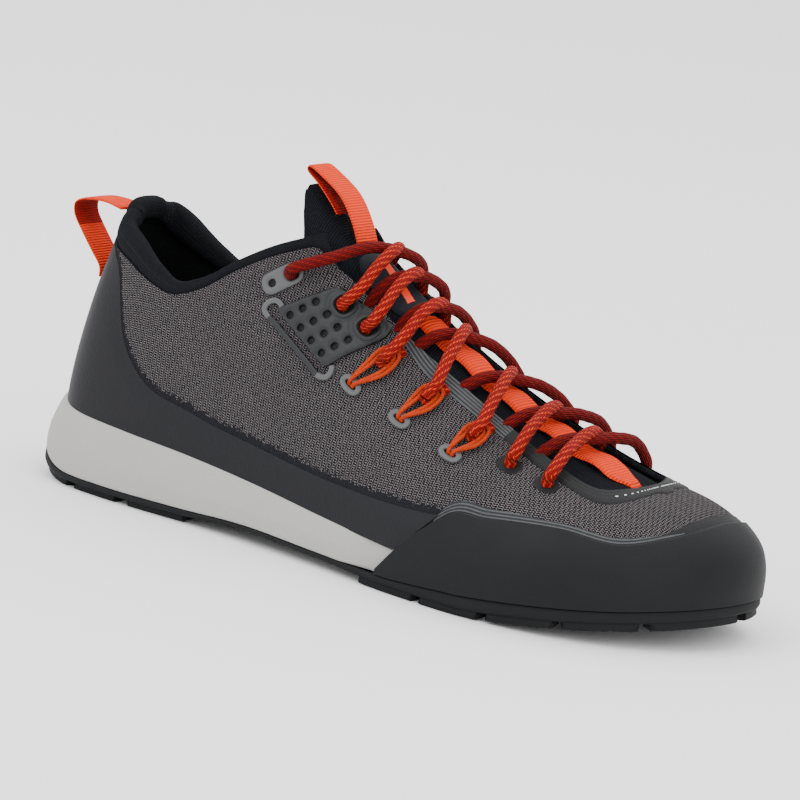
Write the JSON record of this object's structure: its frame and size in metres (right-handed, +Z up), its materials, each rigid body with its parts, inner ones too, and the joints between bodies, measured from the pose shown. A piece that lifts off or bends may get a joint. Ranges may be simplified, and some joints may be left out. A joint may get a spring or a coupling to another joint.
{
  "type": "approach shoe",
  "caption": "Low approach shoe for the right foot: knit upper, padded collar, grippy rubber sole and rand, lacing to the toe, heel and tongue pull loops.",
  "frame": {"origin": "on the floor under the middle of the shoe's bounding box", "axes": "+X towards the toe, +Y towards the medial side, +Z up"},
  "size_m": [0.3028, 0.1018, 0.1355],
  "materials": {
    "sole_rubber": "matte black rubber",
    "midsole_foam": "light grey foam",
    "knit": "warm grey knit",
    "counter_film": "charcoal film",
    "lining": "black padded knit",
    "tongue_mesh": "dark mesh",
    "webbing": "orange ribbed webbing",
    "cord": "thin orange cord",
    "lace": "dark red round lace",
    "badge": "dark glossy patch",
    "wing_plastic": "dark grey moulded plastic",
    "trim": "light grey moulded trim"
  },
  "bodies": {
    "root": {"collar": "lining", "eyelet_plate_lateral": "trim", "eyelet_plate_medial": "trim", "eyestay_wing_lateral": "wing_plastic", "eyestay_wing_medial": "wing_plastic", "heel_counter": "counter_film", "heel_loop": "webbing", "insole": "lining", "lace_crossing_1": "lace", "lace_crossing_2": "lace", "lace_crossing_3": "lace", "lace_crossing_4": "lace", "lace_crossing_5": "lace", "lace_crossing_6": "lace", "lace_crossing_7": "lace", "lace_loop_3_lateral": "cord", "lace_loop_3_medial": "cord", "lace_loop_4_lateral": "cord", "lace_loop_4_medial": "cord", "lace_loop_5_lateral": "cord", "lace_loop_5_medial": "cord", "loop_grommet_3_lateral": "trim", "loop_grommet_3_medial": "trim", "loop_grommet_4_lateral": "trim", "loop_grommet_4_medial": "trim", "loop_grommet_5_lateral": "trim", "loop_grommet_5_medial": "trim", "midsole": "midsole_foam", "outsole": "sole_rubber", "rand": "sole_rubber", "throat_trim": "trim", "tongue": "tongue_mesh", "tongue_badge": "badge", "tongue_tab": "webbing", "tongue_webbing": "webbing", "upper": "knit", "wing_anchor_lateral": "trim", "wing_anchor_medial": "trim"}
  },
  "joints": []
}
